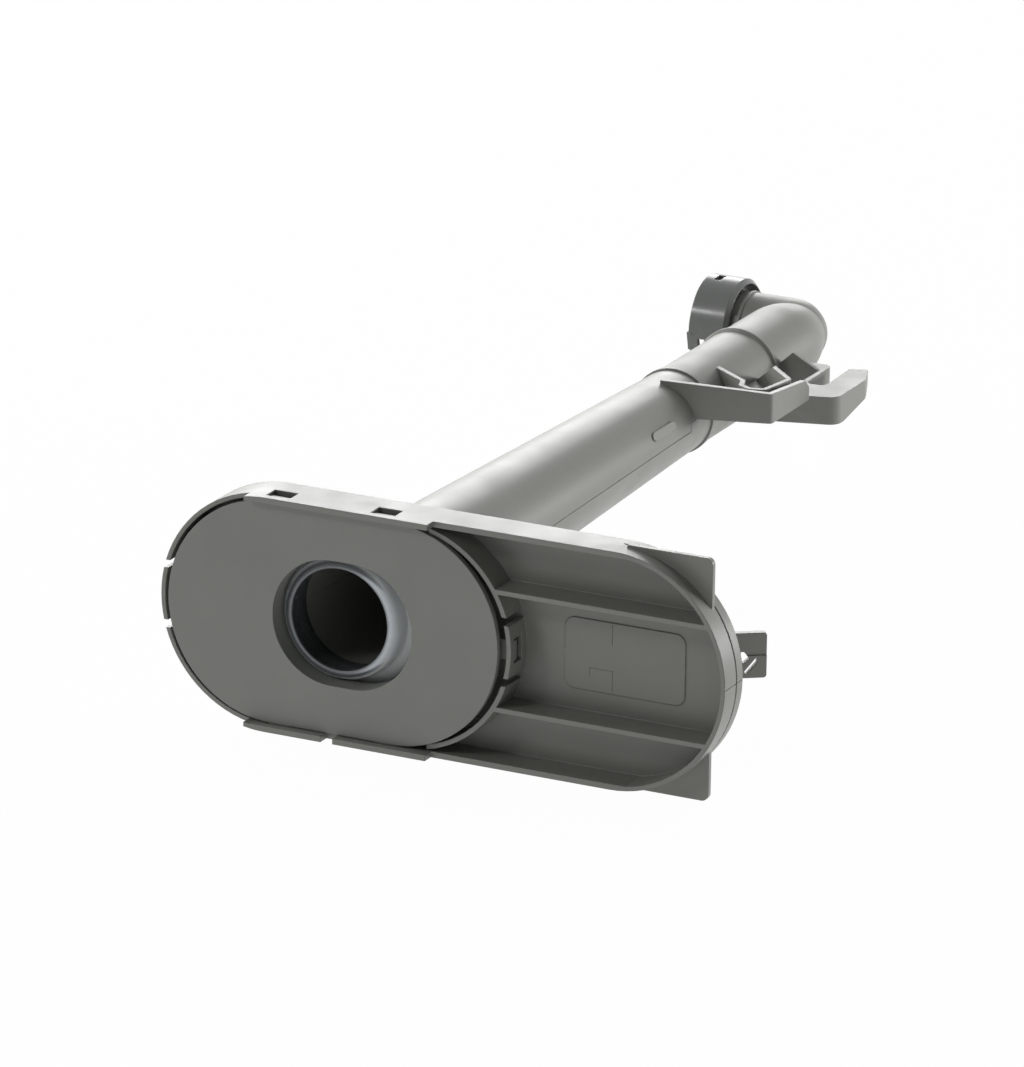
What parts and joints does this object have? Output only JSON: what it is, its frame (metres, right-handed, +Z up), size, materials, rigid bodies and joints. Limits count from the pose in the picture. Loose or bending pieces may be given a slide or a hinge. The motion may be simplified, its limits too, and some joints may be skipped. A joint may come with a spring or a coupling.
{
  "type": "dishwasher conduit",
  "caption": "Grey plastic dishwasher upper-rack feed conduit: flat oblong docking housing, long tapering pipe, wire-hook bracket and elbow with a turning spray-arm collar.",
  "frame": {"origin": "on the pipe's axis, in the plane of the housing's foremost edges", "axes": "+Y along the pipe away from the docking face, +X along the housing towards its blank end, +Z up"},
  "size_m": [0.1516, 0.2872, 0.061],
  "materials": {
    "shell_plastic": "satin moulded",
    "plate_plastic": "matt moulded",
    "collar_plastic": "smooth",
    "seal_rubber": "translucent"
  },
  "bodies": {
    "conduit": {"upper_shell": "shell_plastic", "lower_shell": "shell_plastic", "outlet_elbow": "shell_plastic", "inlet_seal": "seal_rubber"},
    "plate": {"docking_plate": "plate_plastic"},
    "collar": {"outlet_collar": "collar_plastic"}
  },
  "joints": [
    {"name": "plate_slide", "type": "slide", "parent": "conduit", "child": "plate", "axis": [0, 1, 0], "range_m": [0, 0.002], "stiffness_N_per_m": 2000},
    {"name": "collar_spin", "type": "hinge", "parent": "conduit", "child": "collar", "pos_m": [-0.02, 0.2744, 0], "axis": [1, 0, 0], "continuous": true}
  ]
}
